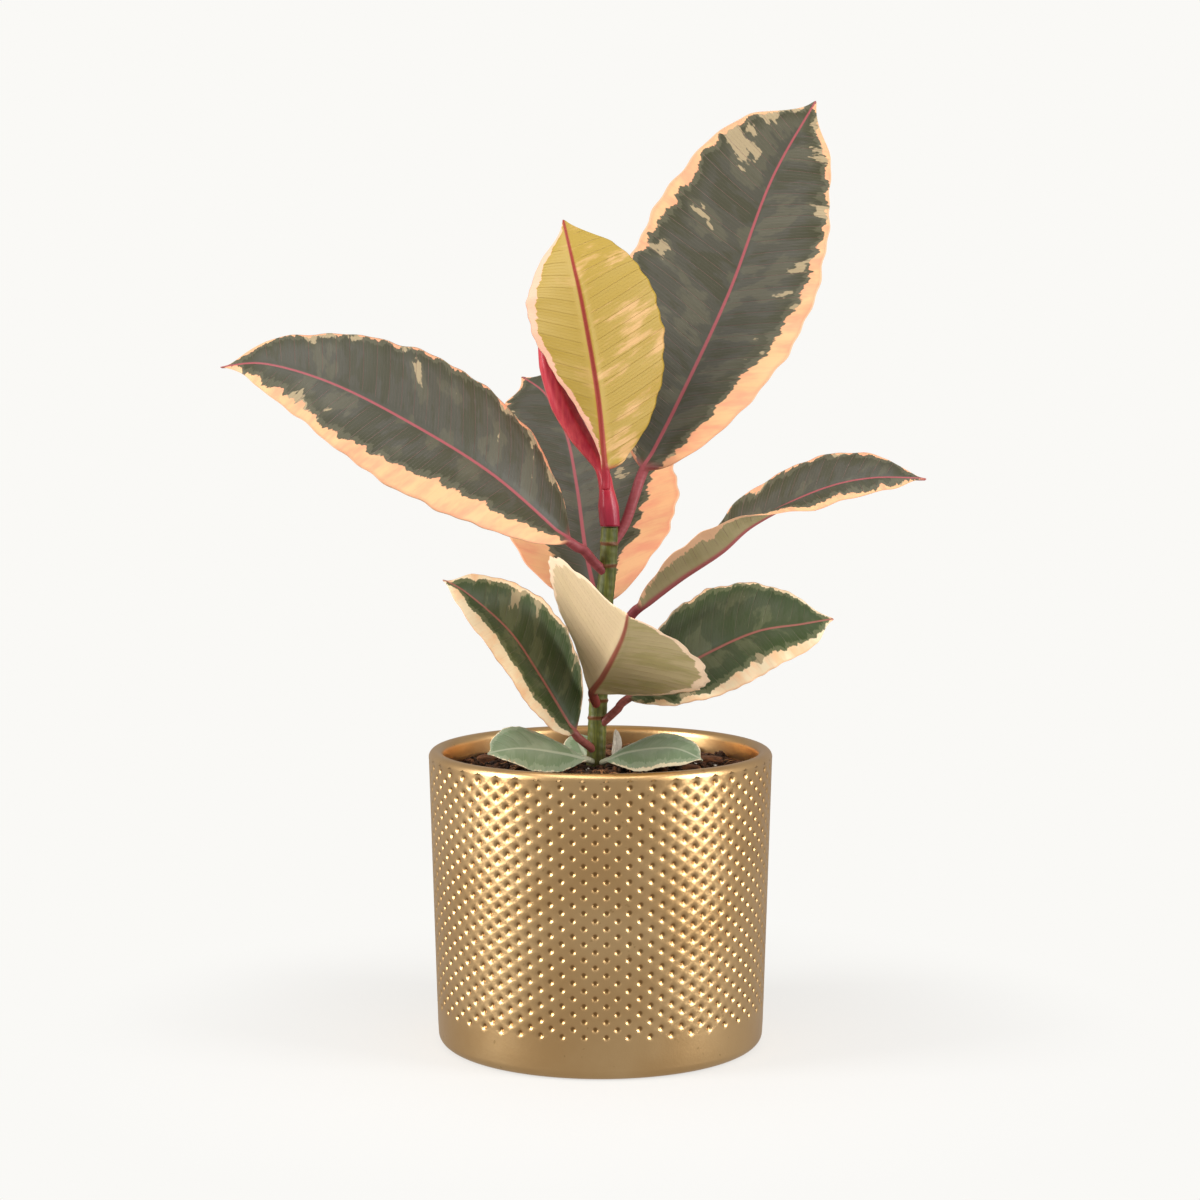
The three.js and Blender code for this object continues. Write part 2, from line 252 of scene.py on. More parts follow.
class Finish:
    """A material under construction."""

    def __init__(self, name):
        self.material = bpy.data.materials.new(name)
        self.material.use_nodes = True
        self.tree = self.material.node_tree
        self.shader = self.tree.nodes["Principled BSDF"]

    def node(self, kind, settings=None, values=None, output=0):
        """Any node: its settings first, then its sockets' values or links."""
        node = self.tree.nodes.new("ShaderNode" + kind)
        for key, value in (settings or {}).items():
            if key == "stops":
                self._stops(node.color_ramp, value)
            else:
                setattr(node, key, value)
        for key, value in (values or {}).items():
            self.feed(node.inputs[key], value)
        return Wire(self.tree, node.outputs[output])

    def _stops(self, ramp, stops):
        while len(ramp.elements) < len(stops):
            ramp.elements.new(0.5)
        for element, (place, colour) in zip(ramp.elements, stops):
            element.position = place
            element.color = (*colour, 1)

    def feed(self, slot, value):
        if isinstance(value, Wire):
            self.tree.links.new(value.socket, slot)
        elif slot.type == "RGBA" and len(value) == 3:
            slot.default_value = (*value, 1)
        else:
            slot.default_value = value

    def mix(self, share, first, second):
        """The first colour, turning into the second as share goes from 0 to 1."""
        node = self.tree.nodes.new("ShaderNodeMix")
        node.data_type = "RGBA"
        self.feed(node.inputs[0], share)
        self.feed(node.inputs[6], first)
        self.feed(node.inputs[7], second)
        return Wire(self.tree, node.outputs[2])

    def vector(self, x, y, z):
        return self.node("CombineXYZ", values={0: x, 1: y, 2: z})

    def parts(self, vector):
        split = self.node("SeparateXYZ", values={0: vector})
        outputs = split.socket.node.outputs
        return [Wire(self.tree, outputs[k]) for k in range(3)]

    def attribute(self, name):
        return self.node("Attribute", {"attribute_name": name}, output="Vector")

    def number(self, name):
        return self.node("Attribute", {"attribute_name": name}, output="Fac")

    def speckle(self, place, scale, detail=4.0, rough=0.55):
        return self.node("TexNoise", values={
            "Vector": place, "Scale": scale, "Detail": detail, "Roughness": rough})

    def place(self):
        """Where a point is on the piece, in metres."""
        return self.node("TexCoord", output="Object")

    def relief(self, height, distance, strength=1.0, under=None):
        values = {"Height": height, "Distance": distance, "Strength": strength}
        if under is not None:
            values["Normal"] = under
        return self.node("Bump", values=values)

    def set(self, **sockets):
        for key, value in sockets.items():
            self.feed(self.shader.inputs[key.replace("_", " ")], value)
        return self.material


def colour(red, green, blue):
    """A screen colour from 0 to 255 as the linear values that shaders use."""
    screen = np.array([red, green, blue]) / 255
    return tuple(np.where(screen < 0.04045, screen / 12.92, ((screen + 0.055) / 1.055) ** 2.4))


print("green", [round(c, 3) for c in colour(85, 95, 80)])

# %% [markdown]
# ## The leaves
#
# A rubber plant's leaf is a thick, waxy blade on a round stalk, with a midrib
# that stands out underneath and dozens of fine side veins that run almost
# straight to the edge. It could be cut from a flat sheet and bent, but a real
# leaf has no flat stage: its stalk turns into the blade without a seam. So the
# whole leaf is one closed skin carried along a path. The section starts as the
# stalk's circle and widens into the thin blade, whose two halves rise from the
# midrib and curl towards their margins.
#
# The side veins are shallow grooves on top, so the blade between them is
# slightly pillowed. They follow lines that lean towards the tip.

# %% Describe the leaves
# All in millimetres and degrees. Left and right are as seen looking along the
# leaf with its upper side up. green gives how far towards each margin the green
# reaches, from the base of the blade to its tip.
LEAVES = {
    "leaf_new_top": dict(
        stalk=[[2.2, -6, 226]],
        rib=[[2, -5.5, 234], [-1, -8, 264], [-7, -10, 299], [-11, -8, 317], [-15, 0, 334]],
        face=[[0.1, 1, 0], [0.15, 1, 0]], half=[34, 27], lift=[[34, 26], [20, 20]],
        curl=[[10, 5], [12, 10]], widest=[0.5, 0.64], full=[0.55, 0.85], stem=1.7,
        green=[[1.2, 1.2, 1.2, 1.15, 1.1, 1.1], [0.5, 0.72, 0.86, 0.86, 0.76, 0.6]]),
    "leaf_top_right": dict(
        stalk=[[3.4, 0, 202], [9.6, 3.5, 211], [13.6, 6, 222]],
        rib=[[18, 10, 234], [31, 18, 259], [53, 34, 305], [71, 44, 352], [90, 48, 386]],
        face=[[-0.45, -0.8, 0.35], [-0.3, -0.95, 0.2], [-0.1, -1, 0.1]], half=[45, 37],
        lift=[[14, 8], [14, 8]], curl=[[-12, -12], [-12, -12]], widest=[0.5, 0.45], full=[0.66, 0.58],
        stem=2.1,
        green=[[0.9, 0.95, 0.97, 0.95, 0.85, 0.93, 0.9], [0.75, 0.62, 0.72, 0.85, 0.92, 0.95, 0.7]]),
    "leaf_left": dict(
        stalk=[[2, -1, 192], [-3, -4, 197], [-7, -8, 202]],
        rib=[[-13, -12, 206], [-42, -20, 232], [-73, -26, 252], [-104, -28, 268],
             [-131, -26, 276], [-150, -22, 275]],
        face=[[0.5, -0.6, 0.6], [0.2, -0.75, 0.65], [0, -0.75, 0.65]], half=[33, 38],
        lift=[[12, 8], [12, 8]], curl=[[-20, -20], [-20, -20]], widest=[0.42, 0.42], full=[0.85, 0.8], stem=2,
        green=[[0.4, 0.6, 0.62, 0.72, 0.82, 0.75, 0.4], [0.9, 0.96, 0.98, 0.98, 0.98, 0.96, 0.6]]),
    "leaf_back": dict(
        stalk=[[1, 1, 164], [1, 5, 170]],
        rib=[[-1, 9, 178], [-6, 20, 199], [-10, 45, 225], [-15, 70, 247], [-24, 92, 263], [-35, 107, 271]],
        face=[[0.1, -0.8, 0.6], [0.1, -0.8, 0.6]], half=[38, 43], lift=[[10, 8], [10, 8]],
        curl=[[-12, -10], [-12, -10]], widest=[0.46, 0.46], full=[0.62, 0.62], stem=2,
        green=[[0.3, 0.55, 0.7, 0.85, 0.9, 0.8], [0.3, 0.6, 0.72, 0.92, 0.92, 0.8]]),
    "leaf_right": dict(
        stalk=[[0.6, -0.5, 160], [5, -2, 166], [11.5, -5, 174]],
        rib=[[16, -8, 179], [31, -18, 191.5], [47, -28, 203], [60, -34, 214.5],
             [84, -42, 227], [104, -45, 232], [126, -46, 232]],
        face=[[-0.5, 0.2, 0.85], [-0.4, 0, 0.9], [0, -0.4, 0.9], [0, -0.45, 0.9]], half=[22, 14],
        lift=[[60, 44, 16, 10], [72, 52, 4, -12]], curl=[[0, 0, -10, -20], [0, 0, -20, -20]],
        widest=[0.68, 0.5], full=[0.7, 0.7], stem=2,
        green=[[0.9, 0.95, 0.95, 0.95, 0.95, 0.8], [0.8, 0.8, 0.7, 0.7, 0.75, 0.6]]),
    "leaf_front_folded": dict(
        stalk=[[-1, -0.5, 137], [-2.4, -5, 141]],
        rib=[[-3, -9, 145], [1, -20, 152], [5, -42, 162], [8, -64, 171], [9.5, -82, 178], [10, -96, 184]],
        face=[[0.5, 0.62, 0.6], [0.5, 0.55, 0.65], [0.4, 0.5, 0.7]], half=[37.5, 44],
        lift=[[22, 22], [16, 18]], curl=[[-8, -14], [0, 10]], widest=[0.45, 0.53], full=[0.85, 0.72],
        stem=1.9, green=[[0.9, 0.93, 0.9, 0.9, 0.85, 0.8], [0.95, 0.95, 0.93, 0.9, 0.9, 0.8]]),
    "leaf_lower_left": dict(
        stalk=[[-2, -0.5, 118.5], [-4.5, -4, 121.5], [-8, -9, 125]],
        rib=[[-11, -12, 129], [-24, -22, 152], [-36, -30, 171], [-52, -34, 186], [-62, -34, 192]],
        face=[[0.7, -0.6, 0.2], [0.6, -0.7, 0.4]], half=[26, 27], lift=[[30, 30], [8, 5]],
        curl=[[-10, -15], [-15, -15]], widest=[0.46, 0.4], full=[0.7, 0.7], stem=1.7,
        green=[[0.6, 0.7, 0.7, 0.6, 0.5, 0.3], [0.9, 0.95, 0.95, 0.9, 0.85, 0.5]]),
    "leaf_lower_right": dict(
        stalk=[[-1, -0.5, 129], [3, -3, 133], [7, -5, 137]],
        rib=[[12, -7, 142], [41, -18, 160], [62, -22, 170], [80, -22, 173], [93, -20, 175]],
        face=[[-0.2, -0.6, 0.75], [-0.1, -0.65, 0.75], [0, -0.65, 0.75]], half=[33, 24],
        lift=[[12, 8], [12, 8]], curl=[[-20, -20], [-20, -20]], widest=[0.42, 0.5], full=[0.62, 0.7],
        stem=1.7, green=[[0.9, 0.92, 0.97, 0.97, 0.9, 0.6], [0.8, 0.9, 0.85, 0.7, 0.75, 0.6]]),
    "leaf_soil_left": dict(
        stalk=[[-2.6, -0.5, 114.4], [-4.5, -6, 116]],
        rib=[[-6, -9, 117], [-16, -14, 120], [-32, -21, 123], [-45, -27, 122]],
        face=[[0, -0.6, 0.8], [-0.1, -0.5, 0.9]], half=[13, 17], lift=[[5, 5], [5, 5]],
        curl=[[-20, -20], [-20, -20]], widest=[0.55, 0.6], full=[0.8, 0.9], stem=1.3,
        green=[[0.97, 0.97, 0.97, 0.95], [0.95, 0.97, 0.97, 0.95]]),
    "leaf_soil_right": dict(
        stalk=[[-2, -0.5, 114], [1.4, -3.6, 115]],
        rib=[[3, -5, 116], [12, -10, 120], [29, -17, 122.5], [41, -22, 118.5]],
        face=[[0, -0.5, 0.8], [0.1, -0.4, 0.9]], half=[13, 14], lift=[[5, 5], [5, 5]],
        curl=[[-20, -20], [-20, -20]], widest=[0.55, 0.55], full=[0.7, 0.7], stem=1.3,
        green=[[0.9, 0.92, 0.92, 0.85], [0.85, 0.9, 0.85, 0.8]]),
    "leaf_soil_back": dict(
        stalk=[[-2.4, 0.5, 113.5], [-4.6, 5, 115]], rib=[[-6, 7, 116], [-8.6, 12, 120], [-10, 17, 124]],
        face=[[0.1, -0.8, 0.5], [0.1, -0.9, 0.4]], half=[7, 7], lift=[[5, 5], [5, 5]],
        curl=[[-20, -20], [-20, -20]], widest=[0.5, 0.5], full=[0.6, 0.6], stem=1,
        green=[[0.9, 0.9], [0.9, 0.9]]),
}
print(len(LEAVES), "leaves")

# %% Shape one leaf
TIP_POINT = 0.05
BLADE_HALF_THICKNESS = 0.4
VEIN_SPACING = 5.6
VEIN_LEAN = 0.36
VEIN_DEPTH = 0.16
SIDE_COLUMNS = 20
STALK_ROWS = 14


def outline(u, widest, full):
    """Half width along the blade: a sine arch skewed so that its top sits at
    widest, raised to the power full, and drawn in to a point at the tip."""
    skew = math.log(0.5) / math.log(widest)
    arch = np.sin(np.pi * np.clip(u, 0, 1) ** skew)
    return np.maximum(arch, 0) ** full * (1 - 0.75 * ease(1 - 2.2 * TIP_POINT, 1, u))


def leaf_surface(leaf, rows):
    """Rings of points for one leaf, and what each point is.

    Along: the path runs up the stalk and out along the midrib. Around: from the
    right margin underneath to the left margin, then back over the top. A point
    stands on its half of the blade at the share v of the half width, on an arc
    that starts at the angle lift and bends by curl, and half the blade's
    thickness off it, which falls to nothing at the margin as sqrt(1 - v^2).
    The midrib is a round keel underneath: r * exp(-(distance / r)^2).
    """
    points = np.array(leaf["stalk"] + leaf["rib"], float)
    path, run = path_through(points)
    knot = round(400 * len(leaf["stalk"]) / (len(points) - 1))
    stalk_length = run[knot]
    blade_length = run[-1] - stalk_length
    u_blade = (1 - np.cos(np.linspace(0, np.pi, rows))) / 2 * 0.35 + np.linspace(0, 1, rows) * 0.65
    length = np.concatenate([
        np.linspace(0, stalk_length, STALK_ROWS, endpoint=False),
        stalk_length + blade_length * u_blade])
    length = np.concatenate([[0], length])
    u = (length - stalk_length) / blade_length
    centre = at_length(path, run, length)
    step = 0.5
    ahead = at_length(path, run, np.minimum(length + step, run[-1]))
    behind = at_length(path, run, np.maximum(length - step, 0))
    forward = unit(ahead - behind)
    up = along(unit(np.array(leaf["face"], float)), np.clip(u, 0, 1))
    up = unit(up - (up * forward).sum(-1, keepdims=True) * forward)
    right = np.cross(forward, up)

    half = np.sin(np.linspace(0, np.pi / 2, SIDE_COLUMNS + 1))
    half = 0.45 * half + 0.55 * np.linspace(0, 1, SIDE_COLUMNS + 1)
    under = np.concatenate([half[::-1], -half[1:]])
    v = np.concatenate([under, under[-2:0:-1]])
    top = (np.arange(len(v)) > 2 * SIDE_COLUMNS)[None, :]
    away = np.abs(v)[None, :]
    side = (v < 0).astype(int)

    along_blade = np.clip(u, 0, 1)[:, None]
    stalkness = 1 - ease(-0.02, 0.05, u)[:, None]
    rib_radius = np.maximum(leaf["stem"] * (1 - 0.85 * along_blade), 0.25)
    blade = np.where(side == 1, leaf["half"][0] * outline(along_blade, leaf["widest"][0], leaf["full"][0]),
                     leaf["half"][1] * outline(along_blade, leaf["widest"][1], leaf["full"][1]))
    blade = blade * (u[:, None] > 0)
    wave = 1 + 0.012 * np.sin(along_blade * 38 + side * 2) + 0.01 * np.sin(along_blade * 91 + side)
    width = np.hypot(blade * wave, rib_radius * (1 - 0.6 * along_blade))
    lift = np.where(side == 1, along(leaf["lift"][0], along_blade), along(leaf["lift"][1], along_blade))
    curl = np.where(side == 1, along(leaf["curl"][0], along_blade), along(leaf["curl"][1], along_blade))
    lift = np.radians(lift) * (1 - stalkness)
    bend = np.radians(curl) * (1 - stalkness)
    bend = np.where(np.abs(bend) < 1e-4, 1e-4, bend)
    out = width * (np.sin(lift + bend * away) - np.sin(lift)) / bend
    rise = width * (np.cos(lift) - np.cos(lift + bend * away)) / bend

    distance = width * away
    travelled = np.broadcast_to((u * blade_length)[:, None], distance.shape)
    phase = (travelled - VEIN_LEAN * distance) / VEIN_SPACING
    groove = 0.5 + 0.5 * np.cos(2 * np.pi * phase)
    groove = groove**6 * ease(1.5, 5, distance) * (1 - ease(0.8, 1, away)) * (1 - stalkness)
    half_thick = BLADE_HALF_THICKNESS + (leaf["stem"] - BLADE_HALF_THICKNESS) * stalkness
    height = half_thick * np.sqrt(np.clip(1 - away**2, 0, 1))
    keel = (1 - stalkness) * rib_radius * np.exp(-((distance / rib_radius) ** 2))
    channel = (1 - stalkness) * 0.35 * rib_radius * np.exp(-((distance / (0.9 * rib_radius)) ** 2))
    height = np.where(top, height - VEIN_DEPTH * groove - channel, -height - keel - VEIN_DEPTH * groove)
    ripple = 0.35 * np.sin(phase * 2 * np.pi * 0.31 + side * 2.1) * ease(0.2, 1, away) * (1 - stalkness)
    raised = (rise + height + ripple)[..., None] * up[:, None]
    aside = (np.sign(v) * out)[..., None] * right[:, None]
    rings = centre[:, None] + (raised + aside)
    rings[0] = centre[0]
    rings[-1] = centre[-1]

    reach = np.where(side == 1, along(leaf["green"][0], along_blade), along(leaf["green"][1], along_blade))
    facts = {
        "blade": np.stack([distance * np.sign(v), travelled, np.broadcast_to(top * 1.0, distance.shape)], -1),
        "zone": np.stack([np.broadcast_to(away, distance.shape), np.broadcast_to(stalkness, distance.shape),
                          np.broadcast_to(u[:, None], distance.shape)], -1),
        "margin": (away - reach) * width,
    }
    return rings * MM, facts


def on_points(values):
    """The values in the order that closed_skin puts its points."""
    flat = values[1:-1].reshape(-1, *values.shape[2:])
    return np.concatenate([flat, values[:1, 0], values[-1:, 0]])


def make_leaf(name, slot, material):
    leaf = LEAVES[name]
    length = np.linalg.norm(np.diff(np.array(leaf["rib"], float), axis=0), axis=1).sum()
    rows = int(60 + length * 0.65)
    rings, facts = leaf_surface(leaf, rows)
    piece = build_piece(name, *closed_skin(rings))
    for key, values in facts.items():
        put_attribute(piece, key, on_points(values))
    print(name, "blade", round(length), "mm long")
    return fit(piece, slot, material, name)


# %% [markdown]
# ## Leaf finishes
#
# The colour of a variegated leaf comes from where its cells can make green. In
# the middle they all can; towards the margin they can't, and the edge of the
# green runs ragged along the side veins. Each point of the blade knows its
# distance from the midrib, how far along the leaf it is and how far past the
# edge of the green, so the pattern is worked out in the leaf's own millimetres
# and stays put however the leaf bends. Painting it as a picture would also do,
# but a formula gives every leaf its own pattern from one seed.

# %% The leaf finish
ISLAND = (0.50, 0.38, 0.22)


def leaf_finish(name, seed, green, patch, deep, margin, blush, vein, rib, under, under_patch, under_margin,
                stalk, ragged=13.0, roughness=0.44, patchy=0.45, painted_lit_lobe=None):
    """Green core, ragged pale margin, side veins, midrib and stalk, on both sides."""
    f = Finish(name)
    across, run, top = f.parts(f.attribute("blade"))
    away, stalkness, u = f.parts(f.attribute("zone"))
    past = f.number("margin")
    distance = abs(across)
    lean = run - VEIN_LEAN * distance
    side = across.step(-0.01, 0.01)

    broad = f.speckle(f.vector(lean * 0.16 + seed, across * 0.05, side * 7.0), 1.0, 3.0)
    fine = f.speckle(f.vector(lean * 0.85, across * 0.22 + seed, side * 3.0), 1.0, 5.0, 0.6)
    streak = f.speckle(f.vector(lean * 0.5, across * 0.06 + seed, 2.0), 1.0, 4.0)
    edge = past + (broad - 0.5) * ragged + (fine - 0.5) * 3.0
    pale = edge.step(-0.3, 0.3)
    halo = (edge + 2.6 + (streak - 0.5) * 9.0).step(-0.35, 0.35)

    drift = f.speckle(f.vector(lean * 0.07 + seed, across * 0.035, side * 5.0), 1.0, 4.0)
    patches = drift.step(0.52, 0.56)
    depths = (0.47 - drift + (streak - 0.5) * 0.2).step(0.0, 0.06)
    core = f.mix(patches * (0.2 + 0.3 * fine), green, patch)
    core = f.mix(depths * 0.45, core, deep)
    core = f.mix((edge + 11.0).step(0.0, 8.0) * 0.6, core, deep)
    core = f.mix(halo * 0.5, core, patch)
    core = f.mix((streak - 0.35).step(0.0, 0.4) * 0.2, core, deep)

    islands = (drift + away * 0.22 + (fine - 0.5) * 0.12 - 0.74).step(0.0, 0.02)
    core = f.mix(islands * 0.75, core, ISLAND)
    rim = f.mix((broad + (fine - 0.5) * 0.2).step(0.38, 0.72) * 0.7, margin, blush)
    rim = f.mix((away - 0.93).step(0.0, 0.07) * 0.55, rim, blush)
    inside = 1.0 - pale * 0.85
    clear = distance.step(1.5, 5.0) * inside
    line = abs((lean / VEIN_SPACING).fraction() - 0.5).step(0.46, 0.5) * clear
    hair = abs((lean / (VEIN_SPACING / 4.0)).fraction() - 0.5).step(0.36, 0.5) * clear
    upper = f.mix(pale, core, rim)
    upper = f.mix(line * (0.3 + 0.3 * streak), upper, vein)
    upper = f.mix(hair * 0.10, upper, vein)

    lower = f.mix((drift + (streak - 0.5) * 0.5).step(patchy, patchy + 0.17), under, under_patch)
    # Painted light: where a leaf has its own colour for one lobe, that half of the underside is painted
    # paler, as if that half of its fold faced the light; otherwise it keeps the plain underside colour.
    lower = f.mix(side * 0.65, lower, painted_lit_lobe or under)
    lower = f.mix(pale, lower, under_margin)
    lower = f.mix(line * 0.45, lower, vein)
    lower = f.mix(hair * 0.16, lower, vein)
    skin = f.mix(top.step(0.3, 0.7), lower, upper)

    narrow = 0.85 - 0.5 * u
    midrib = 1.0 - (distance - narrow).step(-0.25, 0.3)
    keel = 1.0 - (distance - narrow * 1.5).step(-0.35, 0.5)
    on_rib = midrib * top + keel * (1.0 - top)
    skin = f.mix(on_rib.held() * 0.9, skin, rib)
    skin = f.mix(stalkness.step(0.25, 0.95), skin, f.mix((fine * 1.1).held(), stalk, rib))

    pores = f.speckle(f.place(), 2600.0, 2.0)
    height = (1.0 - line) * 0.5 + (1.0 - hair) * 0.25 + streak * 0.35 + pores * 0.1
    shine = roughness + (streak - 0.5) * 0.16 + pale * 0.08 + (1.0 - top) * 0.14
    return f.set(Base_Color=skin, Roughness=shine, Normal=f.relief(height, 0.00022, 0.8),
                 Specular_IOR_Level=0.3, Coat_Weight=0.05, Coat_Roughness=0.4)


PEACH = colour(246, 188, 136)
BLUSH = colour(238, 148, 118)
CREAM = colour(247, 226, 188)
ROSE = colour(172, 84, 90)
STALK_RED = colour(112, 44, 42)
GREY_GREEN = dict(
    green=colour(79, 77, 66), patch=colour(110, 106, 84), deep=colour(62, 62, 36), margin=PEACH, blush=BLUSH,
    vein=colour(134, 98, 90), rib=ROSE, under=colour(172, 158, 118), under_patch=colour(152, 142, 94),
    under_margin=colour(240, 190, 150), stalk=STALK_RED)
FRESH_GREEN = dict(
    GREY_GREEN, green=colour(76, 86, 58), patch=colour(130, 132, 96), deep=colour(56, 74, 32), margin=CREAM,
    blush=PEACH, vein=colour(118, 110, 88), rib=colour(176, 104, 94))
# The folded leaf's last colour is painted light: it paints one half of the underside paler, as if that half
# of the fold faced the light.
FOLDED = dict(
    GREY_GREEN, under=colour(190, 172, 128), under_patch=colour(174, 160, 108),
    under_margin=colour(250, 218, 184), vein=colour(190, 150, 120), rib=colour(160, 76, 64),
    painted_lit_lobe=colour(232, 204, 166))
SAGE = dict(
    GREY_GREEN, green=colour(146, 162, 134), patch=colour(180, 190, 162), deep=colour(124, 146, 108),
    margin=CREAM, blush=colour(232, 226, 196), vein=colour(160, 174, 144), rib=colour(190, 198, 172),
    under=colour(170, 180, 150), under_patch=colour(160, 172, 138), under_margin=CREAM,
    stalk=colour(176, 160, 130))
YOUNG = dict(
    GREY_GREEN, green=colour(140, 140, 60), patch=colour(170, 160, 90), deep=colour(120, 128, 50),
    margin=colour(238, 190, 160), blush=colour(240, 150, 130), vein=colour(160, 124, 58),
    rib=colour(158, 36, 46), under=colour(178, 148, 60), under_patch=colour(216, 172, 112),
    under_margin=colour(244, 186, 156), stalk=colour(176, 40, 60), patchy=0.5)

make_leaf("leaf_new_top", "leaf_new", leaf_finish("young_leaf", 3.0, **YOUNG, ragged=8.0, roughness=0.34))
make_leaf("leaf_top_right", "leaf_variegated", leaf_finish("top_leaf", 11.0, **GREY_GREEN))
make_leaf("leaf_left", "leaf_variegated", leaf_finish("left_leaf", 23.0, **GREY_GREEN))
make_leaf("leaf_back", "leaf_variegated", leaf_finish("back_leaf", 31.0, **GREY_GREEN))
make_leaf("leaf_right", "leaf_variegated", leaf_finish("right_leaf", 43.0, **GREY_GREEN))
make_leaf("leaf_front_folded", "leaf_variegated", leaf_finish("folded_leaf", 57.0, **FOLDED, ragged=6.0))
make_leaf("leaf_lower_left", "leaf_green", leaf_finish("lower_left_leaf", 61.0, **FRESH_GREEN, ragged=9.0))
make_leaf("leaf_lower_right", "leaf_green", leaf_finish("lower_right_leaf", 71.0, **FRESH_GREEN, ragged=9.0))
sage = leaf_finish("sage_leaf", 83.0, **SAGE, ragged=3.0, roughness=0.45)
for name in ("leaf_soil_left", "leaf_soil_right", "leaf_soil_back"):
    make_leaf(name, "leaf_pale", sage)

# %% [markdown]
# ## Stem and bud
#
# The stem is green and smooth, with a raised ring at each place where a leaf
# joins it or once did. Above the last leaf a crimson sheath wraps the growing
# tip; it narrows to a neck and then swells into a long pointed bud.

# %% Round shoots
STEM_POINTS = [[-3, 0, 78], [-2.5, 0, 100], [-2, 0, 111], [-1, 0, 138], [1, 0, 173], [3, 0, 194],
               [3.6, 0, 207], [3.8, 0, 210.5]]
LEAF_RINGS = [112, 133, 140, 163, 168, 195, 204]
SHEATH_POINTS = [[3.9, 0, 211], [3.6, 0, 214], [3.2, 0.4, 219], [2.4, 1.6, 226], [0.3, 5, 234], [-7, 10, 245],
                 [-14.5, 13, 258], [-21, 13, 275], [-25.5, 10, 296]]
SHEATH_RADII = [3.9, 4.1, 4.2, 3.0, 2.8, 5.0, 5.5, 4.0, 0.3]


def round_shoot(points, radius_of, rows, corners=40):
    """Level rings about a path: centre + r(t, turn) * (cos turn, sin turn)."""
    path, run = path_through(points)
    length = np.linspace(0, run[-1], rows)
    t = np.interp(length, run, np.linspace(0, 1, len(run)))
    centre = at_length(path, run, length)
    turn = np.linspace(0, 2 * np.pi, corners, endpoint=False)[None, :]
    radius = radius_of(t[:, None], centre[:, 2:3], turn)
    rings = np.repeat(centre[:, None], corners, axis=1)
    rings[..., 0] += radius * np.cos(turn)
    rings[..., 1] += radius * np.sin(turn)
    first, last = (np.repeat(centre[k:k + 1, None], corners, 1) for k in (0, len(centre) - 1))
    rings = np.concatenate([first, rings, last])
    return rings * MM


def stem_radius(t, height, turn):
    """Even taper, a soft ridge at each leaf ring and slight flutes."""
    radius = 4.1 - 0.8 * t
    for ring in LEAF_RINGS:
        slant = ring + 0.7 * np.cos(turn + ring)
        radius = radius + 0.38 * np.exp(-(((height - slant) / 0.55) ** 2))
    return radius + 0.06 * np.sin(5 * turn + height * 0.05) + 0.05 * np.sin(height * 1.9 + 2 * turn)


def sheath_radius(t, height, turn):
    """The listed radii, with the overlap of the wrapped scale as a low ridge."""
    radius = along(SHEATH_RADII, t)
    return radius * (1 + 0.05 * np.exp(-(((turn - 4.2) / 0.25) ** 2)) + 0.02 * np.sin(9 * turn))


def stem_finish():
    f = Finish("stem_skin")
    spot = f.place()
    height = f.parts(spot)[2]
    grain = f.speckle(f.node("Mapping", values={"Vector": spot, "Scale": (900.0, 900.0, 90.0)}), 1.0, 4.0)
    cloud = f.speckle(spot, 90.0, 3.0)
    skin = f.mix(grain.step(0.3, 0.75), colour(70, 78, 22), colour(118, 120, 42))
    skin = f.mix(cloud.step(0.45, 0.75) * 0.5, skin, colour(66, 62, 24))
    skin = f.mix((1.0 - height.step(0.100, 0.128)) * (0.45 + 0.5 * cloud), skin, colour(74, 52, 26))
    for ring in LEAF_RINGS:
        band = 1.0 - abs(height - ring * MM).step(0.0004, 0.0011)
        skin = f.mix(band * 0.75, skin, colour(120, 58, 34))
    return f.set(Base_Color=skin, Roughness=0.42 + 0.2 * grain, Normal=f.relief(grain, 0.0003, 0.7))


def sheath_finish():
    f = Finish("bud_skin")
    spot = f.place()
    height = f.parts(spot)[2]
    grain = f.speckle(f.node("Mapping", values={"Vector": spot, "Scale": (700.0, 700.0, 60.0)}), 1.0, 4.0)
    skin = f.mix(grain.step(0.3, 0.7), colour(190, 34, 56), colour(214, 66, 72))
    skin = f.mix(1.0 - height.step(0.212, 0.236), skin, colour(160, 22, 52))
    return f.set(Base_Color=skin, Roughness=0.34 + 0.12 * grain, Normal=f.relief(grain, 0.0002, 0.6),
                 Coat_Weight=0.25, Coat_Roughness=0.25)


stem = build_piece("main_stem_skin", *closed_skin(round_shoot(STEM_POINTS, stem_radius, 320)))
fit(stem, "stem", stem_finish(), "main_stem")
bud = build_piece("bud_sheath_skin", *closed_skin(round_shoot(SHEATH_POINTS, sheath_radius, 120)))
fit(bud, "sheath_red", sheath_finish(), "bud_sheath")

# %% [markdown]
# ## The pot
#
# The pot is pressed clay under a metallic gold glaze. Its wall carries a
# staggered lattice of small round hollows, pushed in before firing. A bump map
# could fake them, but their shaded edges are what the eye reads, so each hollow
# is real. The lattice splits the wall into diamond cells. In each cell, rings
# of twelve points run from the hollow's centre out to the diamond, and equal
# points on neighbouring cells are welded. Above and below the lattice the wall
# is an ordinary turned profile.

